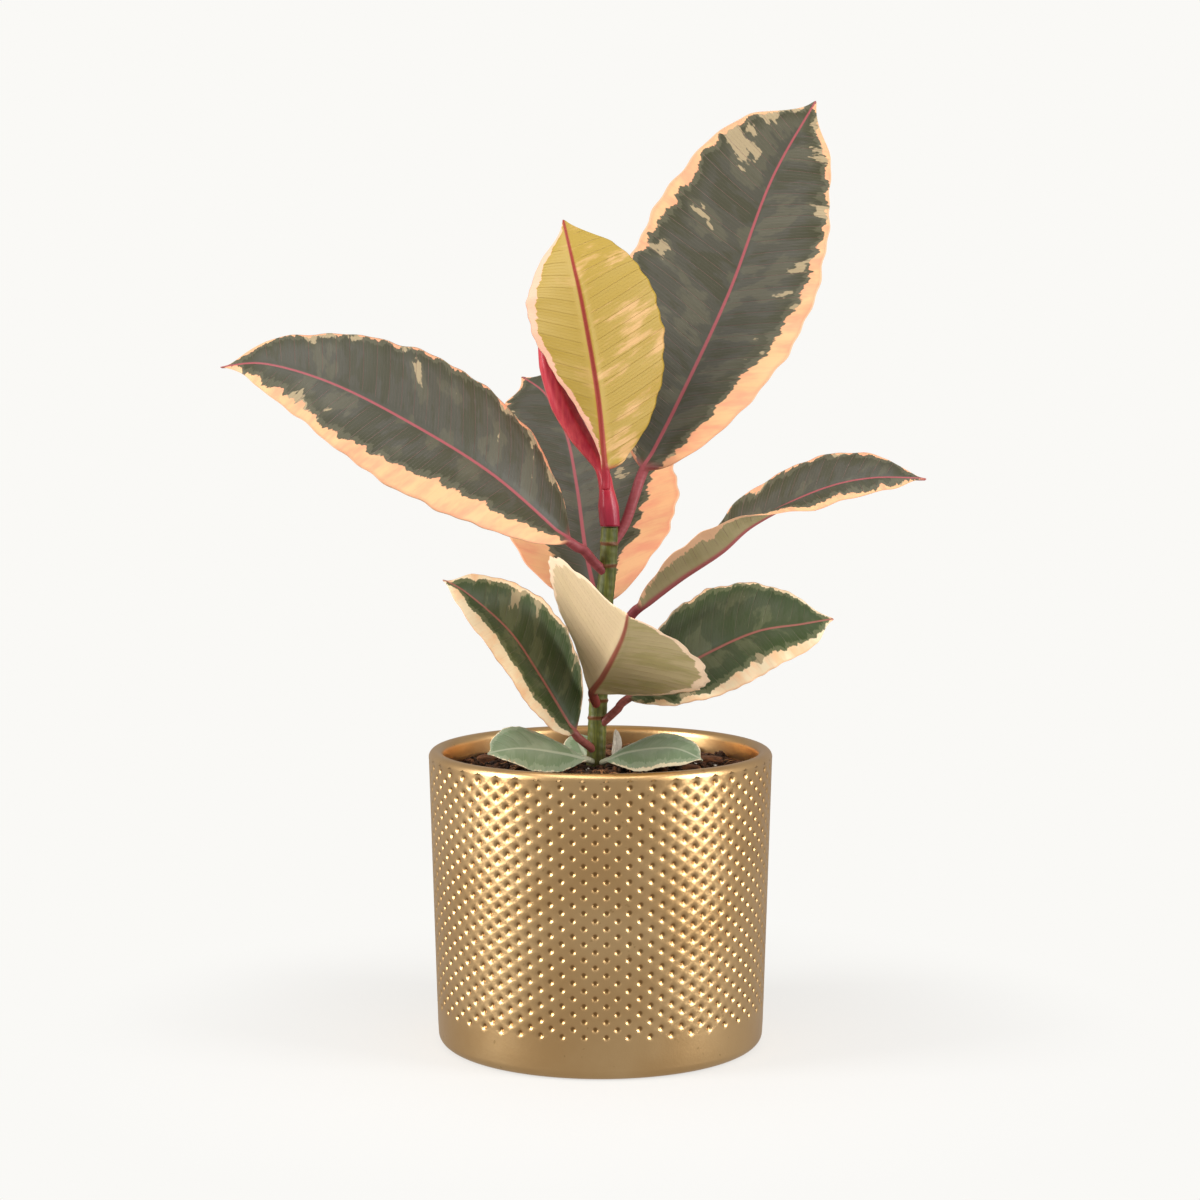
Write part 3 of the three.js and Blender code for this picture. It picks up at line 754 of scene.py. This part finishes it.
# %% Turn the pot
DIMPLES_AROUND = 48
DIMPLE_ROWS = 33
FIRST_ROW = 115.2
LAST_ROW = 17.4
ROW_STEP = (FIRST_ROW - LAST_ROW) / (DIMPLE_ROWS - 1)
DIMPLE_RADIUS = 1.65
DIMPLE_DEPTH = 0.75
RINGS = np.array([0.34, 0.62, 0.86, 1.12])
SPOKES = 12
RIM_RADIUS = pot_high.x / MM
POT_HEIGHT = pot_high.z / MM
BASE_RADIUS = 66.5
WALL = 5.9
HALF_PITCH = math.pi / DIMPLES_AROUND
PHASE = -math.pi / 2 + math.radians(2)


def wall_radius(z):
    """The outer wall leans out evenly from the base to the rim."""
    return BASE_RADIUS + (RIM_RADIUS - BASE_RADIUS) * z / POT_HEIGHT


def on_wall(angle, z, depth=0.0):
    """A point of the wall at an angle and a height, pushed in by depth."""
    radius = wall_radius(z) - depth
    return np.stack(np.broadcast_arrays(radius * np.cos(angle), radius * np.sin(angle), z), -1)


def hollow(share):
    """Depth at a share of the hollow's radius: a bowl with a soft brim."""
    bowl = np.clip(1 - share**2, 0, 1) ** 1.4
    brim = -0.05 * np.exp(-(((share - 1.08) / 0.12) ** 2))
    return DIMPLE_DEPTH * (bowl + brim)


def dimple_cells():
    """Every cell's points, and the faces between them: a centre, four rings and
    the diamond, each of twelve points."""
    row = np.arange(DIMPLE_ROWS)[:, None, None, None]
    column = np.arange(DIMPLES_AROUND)[None, :, None, None]
    middle_angle = PHASE + HALF_PITCH * (2 * column + row % 2)
    middle_z = FIRST_ROW - ROW_STEP * row
    spoke = np.arange(SPOKES)
    turn = 2 * np.pi * spoke / SPOKES
    ring_across = RINGS[:, None] * DIMPLE_RADIUS * np.cos(turn)
    ring_up = RINGS[:, None] * DIMPLE_RADIUS * np.sin(turn)
    quarter, share = spoke // 3, (spoke % 3) / 3
    corners = np.array([[1, 0], [0, 1], [-1, 0], [0, -1], [1, 0]], float)
    diamond = corners[quarter] * (1 - share[:, None]) + corners[quarter + 1] * share[:, None]
    across = np.concatenate([[0], (ring_across / wall_radius(66)).ravel(), diamond[:, 0] * HALF_PITCH])
    up = np.concatenate([[0], ring_up.ravel(), diamond[:, 1] * ROW_STEP])
    depth = np.concatenate([hollow(np.zeros(1)), np.repeat(hollow(RINGS), SPOKES), np.zeros(SPOKES)])
    points = on_wall(middle_angle[..., 0] + across, middle_z[..., 0] + up, depth)
    bands = len(RINGS)
    inner = 1 + SPOKES * np.arange(bands)[:, None] + spoke
    after = 1 + SPOKES * np.arange(bands)[:, None] + (spoke + 1) % SPOKES
    quads = np.stack([inner, inner + SPOKES, after + SPOKES, after], -1).reshape(-1, 4)
    fan = np.stack([np.zeros(SPOKES, int), 1 + spoke, 1 + (spoke + 1) % SPOKES], -1)
    cells = DIMPLE_ROWS * DIMPLES_AROUND
    shift = (np.arange(cells) * points.shape[2])[:, None, None]
    return points.reshape(-1, 3), (quads + shift).reshape(-1, 4), (fan + shift).reshape(-1, 3)


def turned_band(start_z, profile, closing_z):
    """Rings from the lattice's zigzag edge along a turned profile of (radius,
    height) pairs to a closing point on the axis."""
    columns = DIMPLES_AROUND * 6
    angle = PHASE + np.arange(columns) * HALF_PITCH / 3
    edge = on_wall(angle, start_z)
    profile = np.array(profile)
    rings = np.stack([profile[:, :1] * np.cos(angle), profile[:, :1] * np.sin(angle),
                      np.broadcast_to(profile[:, 1:], (len(profile), columns))], -1)
    rings = np.concatenate([edge[None], rings])
    points = np.vstack([rings.reshape(-1, 3), [[0, 0, closing_z]]])
    here = np.arange(columns)
    after = (here + 1) % columns
    row = np.arange(len(rings) - 1)[:, None] * columns
    further = row + columns
    quads = np.stack([row + here, row + after, further + after, further + here], -1).reshape(-1, 4)
    last = (len(rings) - 1) * columns
    fan = np.stack([last + here, last + after, np.full(columns, len(points) - 1)], -1)
    return points, quads, fan


def zigzag(level, step):
    """Height of the lattice's edge: a peak over each hollow, back to level halfway."""
    k = np.arange(DIMPLES_AROUND * 6) % 6
    return level + step * (np.abs(k - 3) / 3)


def rim_profile():
    """Up the wall, over a half round rim, down the inside and in along the floor."""
    crest = WALL / 2
    centre = RIM_RADIUS - crest
    turn = np.linspace(0, np.pi, 15)
    over = np.stack([centre + crest * np.cos(turn), POT_HEIGHT - crest + crest * np.sin(turn)], -1)
    inner = [[RIM_RADIUS - WALL - 0.35, 112], [RIM_RADIUS - WALL - 0.5, 102], [BASE_RADIUS - WALL, 9],
             [BASE_RADIUS - WALL - 3, 6]]
    return np.vstack([over, inner])


def foot_profile():
    """Down the plain band, round the foot and in under the base."""
    turn = np.linspace(0, np.pi / 2, 9)
    edge = 4
    round_foot = np.stack([BASE_RADIUS - edge + edge * np.cos(turn), edge - edge * np.sin(turn)], -1)
    return np.vstack([[[wall_radius(9), 9]], round_foot, [[40, 0]]])


WELD_STEPS_PER_MM = 1e4


def weld(parts):
    """Joins the parts, and makes equal points one point."""
    points = np.vstack([p for p, _, _ in parts])
    starts = np.concatenate([[0], np.cumsum([len(p) for p, _, _ in parts])[:-1]])
    places = np.round(points * WELD_STEPS_PER_MM).astype(np.int64)
    _, kept, same = np.unique(places, axis=0, return_index=True, return_inverse=True)
    same = same.ravel()
    quads = np.vstack([same[q + s] for (_, q, _), s in zip(parts, starts)])
    fans = np.vstack([same[t + s] for (_, _, t), s in zip(parts, starts)])
    return points[kept], quads, fans


def flipped(part):
    points, quads, fans = part
    return points, quads[:, ::-1], fans[:, ::-1]


above = turned_band(zigzag(FIRST_ROW, ROW_STEP), rim_profile(), 6)
below = flipped(turned_band(zigzag(LAST_ROW, -ROW_STEP), foot_profile(), 0))
pot_points, pot_quads, pot_fans = weld([dimple_cells(), above, below])
pot = build_piece("gold_pot", pot_points * MM, pot_quads, pot_fans)
heights = pot_points[:, 2]
sunk = (wall_radius(heights) - np.hypot(pot_points[:, 0], pot_points[:, 1])) / DIMPLE_DEPTH
on_band = (heights > LAST_ROW - 2) & (heights < FIRST_ROW + 2) & (sunk < 2)
put_attribute(pot, "hollow", np.where(on_band, np.clip(sunk, 0, 1), 0.0))
print("pot", 2 * len(pot_quads) + len(pot_fans), "triangles")


def gold_finish():
    f = Finish("gold_glaze")
    spot = f.place()
    cloud = f.speckle(spot, 28.0, 4.0)
    fine = f.speckle(spot, 900.0, 3.0)
    speck = f.speckle(spot, 260.0, 2.0).step(0.68, 0.74)
    skin = f.mix(cloud.step(0.3, 0.7), colour(230, 186, 128), colour(240, 200, 144))
    skin = f.mix(speck * 0.35, skin, colour(160, 120, 68))
    # Painted shade: the glaze turns dark brown inside each hollow, darker towards its deepest point, standing
    # in for the shade that falls in the dimples.
    skin = f.mix(f.number("hollow").step(0.25, 0.9) * 0.8, skin, colour(134, 92, 44))
    return f.set(Base_Color=skin, Metallic=1.0, Roughness=0.26 + 0.08 * cloud + 0.05 * fine,
                 Normal=f.relief(fine, 0.00008, 0.6))


fit(pot, "pot_gold", gold_finish(), "pot")

# %% [markdown]
# ## Soil, bark and fibres
#
# Potting mix is not a surface but a heap of crumbs. A displaced disc gives the
# ground, and several hundred crumbs, a few dozen chips and some long coir
# fibres lie half sunk in it, each a handful of faces. They could be scattered
# by particles; arrays keep them plain meshes, always the same.

# %% Heap the soil
SOIL_RADIUS = 62.8
SOIL_EDGE = soil_high.z / MM - 1.6
rng = np.random.default_rng(7)


def lumps(x, y):
    """Height of the crumbly ground: several crossed sine waves of falling size."""
    height = 0.0 * x
    for k in range(1, 7):
        turn = k * 1.9
        wave = (x * math.cos(turn) + y * math.sin(turn)) * 0.16 * 1.55**k
        other = (x * math.sin(turn) - y * math.cos(turn)) * 0.15 * 1.5**k
        height = height + np.sin(wave + k) * np.cos(other + 2 * k) * 1.5 / 1.45**k
    return height


def ground(x, y):
    """Low mound, highest at the stem, with lumps on it."""
    away = np.hypot(x, y) / SOIL_RADIUS
    return SOIL_EDGE + 1.3 * (1 - away**2) + lumps(x, y) * 0.8


def soil_surface(columns=220, rows=70):
    """Rings from the axis outwards over the ground, then down the side and in."""
    turn = np.linspace(0, 2 * np.pi, columns, endpoint=False)[None, :]
    away = (np.linspace(0, 1, rows) ** 0.8 * SOIL_RADIUS)[:, None]
    x, y = away * np.cos(turn), away * np.sin(turn)
    top = np.stack([x, y, ground(x, y)], -1)
    under = np.array([[60.6, 60], [59.6, 8], [30, 6.6], [0, 6.6]])
    skirt = np.stack([under[:, :1] * np.cos(turn), under[:, :1] * np.sin(turn),
                      np.broadcast_to(under[:, 1:], (4, columns))], -1)
    rings = np.concatenate([top, skirt])[::-1]
    return rings * MM


def scattered(name, seeds, shape, count_seed):
    """Copies of a small closed shape: each row of seeds is x, y, z, three half
    sizes, a turn and a tilt; corners are jittered so that no two are alike."""
    points, faces = shape
    local = np.random.default_rng(count_seed)
    jitter = 1 + 0.22 * local.standard_normal((len(seeds), len(points), 1))
    body = points[None] * seeds[:, None, 3:6] * jitter
    tilt = seeds[:, 7:8]
    x = body[..., 0] * np.cos(tilt) + body[..., 2] * np.sin(tilt)
    z = -body[..., 0] * np.sin(tilt) + body[..., 2] * np.cos(tilt)
    turn = seeds[:, 6:7]
    out = np.stack([x * np.cos(turn) - body[..., 1] * np.sin(turn),
                    x * np.sin(turn) + body[..., 1] * np.cos(turn), z], -1) + seeds[:, None, :3]
    every = (faces[None] + (np.arange(len(seeds)) * len(points))[:, None, None]).reshape(-1, 3)
    return build_piece(name, out.reshape(-1, 3) * MM, np.zeros((0, 4), int), every)


def ball(rings=4, corners=6):
    """A coarse ball: rings of corners from pole to pole."""
    lat = np.linspace(0, np.pi, rings + 1)[1:-1][:, None]
    turn = (np.linspace(0, 2 * np.pi, corners, endpoint=False)[None, :] + lat)
    body = np.stack([np.sin(lat) * np.cos(turn), np.sin(lat) * np.sin(turn),
                     np.broadcast_to(np.cos(lat), turn.shape)], -1).reshape(-1, 3)
    points = np.vstack([body, [[0, 0, 1], [0, 0, -1]]])
    here, after = np.arange(corners), (np.arange(corners) + 1) % corners
    faces = [np.stack([np.full(corners, len(body)), here, after], -1)]
    for k in range(rings - 2):
        a, b = k * corners, (k + 1) * corners
        faces.append(np.stack([a + here, b + here, b + after], -1))
        faces.append(np.stack([a + here, b + after, a + after], -1))
    last = (rings - 2) * corners
    faces.append(np.stack([np.full(corners, len(body) + 1), last + after, last + here], -1))
    return points, np.vstack(faces)


def strewn(count, sizes, sink, clear=5.5):
    """Seeds of count pieces spread evenly over the soil, clear of the stem."""
    away = np.sqrt(rng.uniform((clear / SOIL_RADIUS) ** 2, 0.94, count)) * SOIL_RADIUS
    turn = rng.uniform(0, 2 * np.pi, count)
    x, y = away * np.cos(turn), away * np.sin(turn)
    size = np.array(sizes)[None] * rng.uniform(0.55, 1.25, (count, 1)) * rng.uniform(0.8, 1.2, (count, 3))
    z = ground(x, y) + size[:, 2] * sink
    return np.column_stack([x, y, z, size, rng.uniform(0, 6.3, count), rng.normal(0, 0.35, count)])


def earth_finish(name, dark, light, scale):
    f = Finish(name)
    spot = f.place()
    cloud = f.speckle(spot, scale, 5.0, 0.65)
    grit = f.speckle(spot, 2200.0, 3.0)
    skin = f.mix(cloud.step(0.35, 0.7), dark, light)
    skin = f.mix((grit - 0.55).step(0.0, 0.2) * 0.5, skin, tuple(2.2 * c for c in light))
    return f.set(Base_Color=skin, Roughness=0.85 + 0.1 * grit,
                 Normal=f.relief(cloud + grit * 0.6, 0.0006, 0.9))


SOIL_DARK = colour(38, 24, 14)
earth = earth_finish("potting_mix", SOIL_DARK, colour(82, 52, 30), 420.0)
soil = build_piece("soil_ground", *closed_skin(soil_surface()))
fit(soil, "soil", earth, "potting_soil")
crumbs = scattered("soil_crumbs", strewn(1500, (1.5, 1.2, 1.0), 0.25), ball(4, 6), 3)
fit(crumbs, "soil", earth_finish("crumb", SOIL_DARK, colour(98, 62, 36), 300.0))

# %% [markdown]
# The loose chips of bark are pieces of their own, so each one stands in for its
# solid: a torn block with a fibrous grain. More bark, coir fibres and a few
# white crumbs of perlite belong to the mix.

# %% Bark, fibres and perlite
def rough_block(low, high, seed, columns=22, rows=14):
    """A torn block in a box: a ball whose section is squared off, with ridges
    along its length and a ragged end."""
    centre, half = (low + high) / 2, (high - low) / 2
    lat = np.linspace(0, np.pi, rows)[:, None]
    turn = np.linspace(0, 2 * np.pi, columns, endpoint=False)[None, :]
    square = (np.abs(np.cos(turn)) ** 4 + np.abs(np.sin(turn)) ** 4) ** -0.25
    tear = 1 + 0.10 * np.sin(5 * turn + seed) * np.sin(3 * lat + seed) + 0.05 * np.sin(11 * turn + 2 * seed)
    wide = np.sin(lat) ** 0.45 * square * 0.86 * tear
    x = np.cos(lat) * (1 + 0.08 * np.sin(4 * turn + seed)) + 0 * turn
    return np.stack([x, wide * np.cos(turn), wide * np.sin(turn)], -1) * half + centre


def bark_finish():
    f = Finish("bark")
    spot = f.place()
    stretched = f.node("Mapping", values={"Vector": spot, "Scale": (260.0, 1300.0, 1300.0)})
    grain = f.speckle(stretched, 1.0, 5.0, 0.6)
    cloud = f.speckle(spot, 160.0, 4.0)
    skin = f.mix(grain.step(0.3, 0.7), colour(58, 34, 20), colour(136, 84, 48))
    skin = f.mix(cloud.step(0.5, 0.75) * 0.6, skin, colour(160, 110, 72))
    return f.set(Base_Color=skin, Roughness=0.8 + 0.15 * grain, Normal=f.relief(grain, 0.0007, 0.9))


bark = bark_finish()
for number in range(1, 13):
    low, high = (np.array(corner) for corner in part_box(f"bark_chip_{number:02d}"))
    rings = rough_block(low, high, number * 1.7)
    chip = build_piece(f"bark_{number:02d}", *closed_skin(rings[::-1]))
    fit(chip, "bark", bark, f"bark_chip_{number:02d}")
more_bark = scattered("bark_bits", strewn(170, (3.6, 1.9, 1.0), 0.3), ball(5, 7), 5)
fit(more_bark, "bark", bark)


def fibres(name, count, radius=0.22, steps=14, corners=5):
    """Coir fibres: thin tubes about arcs that rise and fall by a sine and bend
    sideways by a square of the way along."""
    start = strewn(count, (1, 1, 1), 0.0, 9)
    length = rng.uniform(7, 20, count)[:, None]
    turn = start[:, 6:7]
    t = np.linspace(-0.5, 0.5, steps)[None, :]
    bow = rng.normal(0, 0.5, count)[:, None]
    x = start[:, :1] + length * (t * np.cos(turn) - bow * t**2 * np.sin(turn))
    y = start[:, 1:2] + length * (t * np.sin(turn) + bow * t**2 * np.cos(turn))
    inside = np.minimum(1, (SOIL_RADIUS - 1.5) / np.hypot(x, y))
    x, y = x * inside, y * inside
    hop = rng.uniform(0.4, 3.2, count)[:, None]
    z = ground(x, y) + 0.3 + hop * np.cos(np.pi * t) - 0.5
    centre = np.stack([x, y, z], -1)
    forward = unit(np.gradient(centre, axis=1))
    side = unit(np.cross(forward, [0, 0, 1.0]))
    over = np.cross(side, forward)
    thin = radius * np.sqrt(1 - (2 * t) ** 8 * 0.8)[..., None, None]
    ring = np.linspace(0, 2 * np.pi, corners, endpoint=False)
    round_it = side[:, :, None] * np.cos(ring)[:, None] + over[:, :, None] * np.sin(ring)[:, None]
    body = centre[:, :, None] + thin * round_it
    points = np.concatenate([body.reshape(count, -1, 3), centre[:, :1], centre[:, -1:]], 1)
    here, after = np.arange(corners), (np.arange(corners) + 1) % corners
    row = np.arange(steps - 1)[:, None] * corners
    a, b, c, d = row + here, row + after, row + corners + after, row + corners + here
    sides = np.concatenate([np.stack([a, c, b], -1).reshape(-1, 3), np.stack([a, d, c], -1).reshape(-1, 3)])
    first, last = steps * corners, steps * corners + 1
    end = (steps - 1) * corners
    caps = np.concatenate([np.stack([np.full(corners, first), here, after], -1),
                           np.stack([np.full(corners, last), end + after, end + here], -1)])
    faces = np.concatenate([sides, caps])
    every = (faces[None] + (np.arange(count) * (last + 1))[:, None, None]).reshape(-1, 3)
    return build_piece(name, points.reshape(-1, 3) * MM, np.zeros((0, 4), int), every)


def plain_finish(name, first, second, scale, roughness):
    f = Finish(name)
    grain = f.speckle(f.place(), scale, 4.0)
    skin = f.mix(grain.step(0.3, 0.7), first, second)
    return f.set(Base_Color=skin, Roughness=roughness + 0.1 * grain, Normal=f.relief(grain, 0.0003, 0.6))


coir = fibres("coir_fibres", 90)
fit(coir, "bark", plain_finish("coir", colour(150, 92, 50), colour(200, 148, 96), 500.0, 0.7))
perlite = scattered("perlite", strewn(46, (0.9, 0.8, 0.7), 0.5), ball(4, 6), 9)
fit(perlite, "soil", plain_finish("perlite_grain", colour(206, 196, 180), colour(236, 230, 220), 900.0, 0.9))

# %% [markdown]
# Behind the foot of the stem stands a dried bud sheath, a papery scale curled
# lengthwise. It is made like a leaf, with a stronger curl and no green.

# %% Dried sheath
LEAVES["dried_sheath"] = dict(
    stalk=[[5, 7, 113.6]], rib=[[5.5, 7.4, 115], [6.5, 8.5, 120.5], [6.2, 8.6, 127]],
    face=[[0.2, 1, 0.1], [0.2, 1, 0.1]], half=[3.2, 3.2], lift=[[30, 30], [30, 30]],
    curl=[[40, 40], [40, 40]], widest=[0.4, 0.4], full=[0.6, 0.6], stem=0.7, green=[[0, 0], [0, 0]])
make_leaf("dried_sheath", "sheath_dry",
          plain_finish("dry_scale", colour(150, 138, 118), colour(205, 196, 178), 380.0, 0.7))

# %% [markdown]
# ## Floor and light
#
# The plant stands on a seamless near-white sweep. Two tall soft panels at its
# sides put the pair of bright bands on the gold; the space in front of the pot
# is left darker, so that the metal keeps its brown middle. A soft panel above
# fills the leaves. The floor is kept out of mirror-like reflections, because a
# white floor would wash out the gold.

# %% Set the stage
FLOOR_COLOUR = colour(250, 249, 246)


FLOOR_GLOW = 0.68
NEAR, FAR = 0.11, 0.24
LIT_SKIN = (0.238, 0.237, 0.234)


def lit_floor():
    """Part glow and part lamp light close to the pot, all glow further out."""
    f = Finish("sweep")
    x, y, _ = f.parts(f.place())
    far = (x * x + y * y).step(NEAR**2, FAR**2)
    part_glow = tuple(FLOOR_GLOW * c for c in FLOOR_COLOUR)
    skin = f.mix(far, LIT_SKIN, (0.0, 0.0, 0.0))
    glow = f.mix(far, part_glow, FLOOR_COLOUR)
    return f.set(Base_Color=skin, Roughness=0.9, Specular_IOR_Level=0.0,
                 Emission_Color=glow, Emission_Strength=1.0)


SWEEP = 12.0
corners = np.array([[-SWEEP, -SWEEP, 0], [SWEEP, -SWEEP, 0], [SWEEP, SWEEP, 0], [-SWEEP, SWEEP, 0]])
floor = build_piece("floor", corners, np.array([[0, 1, 2, 3]]), np.zeros((0, 3), int))
floor.data.materials.append(lit_floor())
floor.visible_glossy = False


def soft_panel(name, place, aim, width, height, power, tint=(1.0, 1.0, 1.0)):
    """A rectangular lamp at place, facing aim, in metres and watts."""
    lamp = bpy.data.lights.new(name, "AREA")
    lamp.shape = "RECTANGLE"
    lamp.size, lamp.size_y = width, height
    lamp.energy = power
    lamp.color = tint
    holder = bpy.data.objects.new(name, lamp)
    holder.location = place
    holder.rotation_euler = (Vector(aim) - Vector(place)).to_track_quat("-Z", "Y").to_euler()
    bpy.context.scene.collection.objects.link(holder)
    return holder


MIDDLE = (0, 0, 0.17)
soft_panel("left_panel", (-1.35, -0.45, 0.55), MIDDLE, 0.55, 1.3, 23)
soft_panel("right_panel", (1.30, -0.55, 0.55), MIDDLE, 0.55, 1.3, 20)
soft_panel("top_panel", (0, -0.35, 1.7), (0, 0, 0.2), 1.4, 1.4, 13)

world = bpy.data.worlds.new("sweep_light")
bpy.context.scene.world = world
world.use_nodes = True
nodes, links = world.node_tree.nodes, world.node_tree.links
nodes.clear()
ray = nodes.new("ShaderNodeLightPath")
seen = nodes.new("ShaderNodeBackground")
seen.inputs["Color"].default_value = (*FLOOR_COLOUR, 1)
felt = nodes.new("ShaderNodeBackground")
felt.inputs["Color"].default_value = (0.52, 0.51, 0.5, 1)
felt.inputs["Strength"].default_value = 0.7
pick = nodes.new("ShaderNodeMixShader")
output = nodes.new("ShaderNodeOutputWorld")
links.new(ray.outputs["Is Camera Ray"], pick.inputs[0])
links.new(felt.outputs[0], pick.inputs[1])
links.new(seen.outputs[0], pick.inputs[2])
links.new(pick.outputs[0], output.inputs[0])
bpy.context.scene.view_settings.view_transform = "Standard"
bpy.context.scene.view_settings.look = "None"
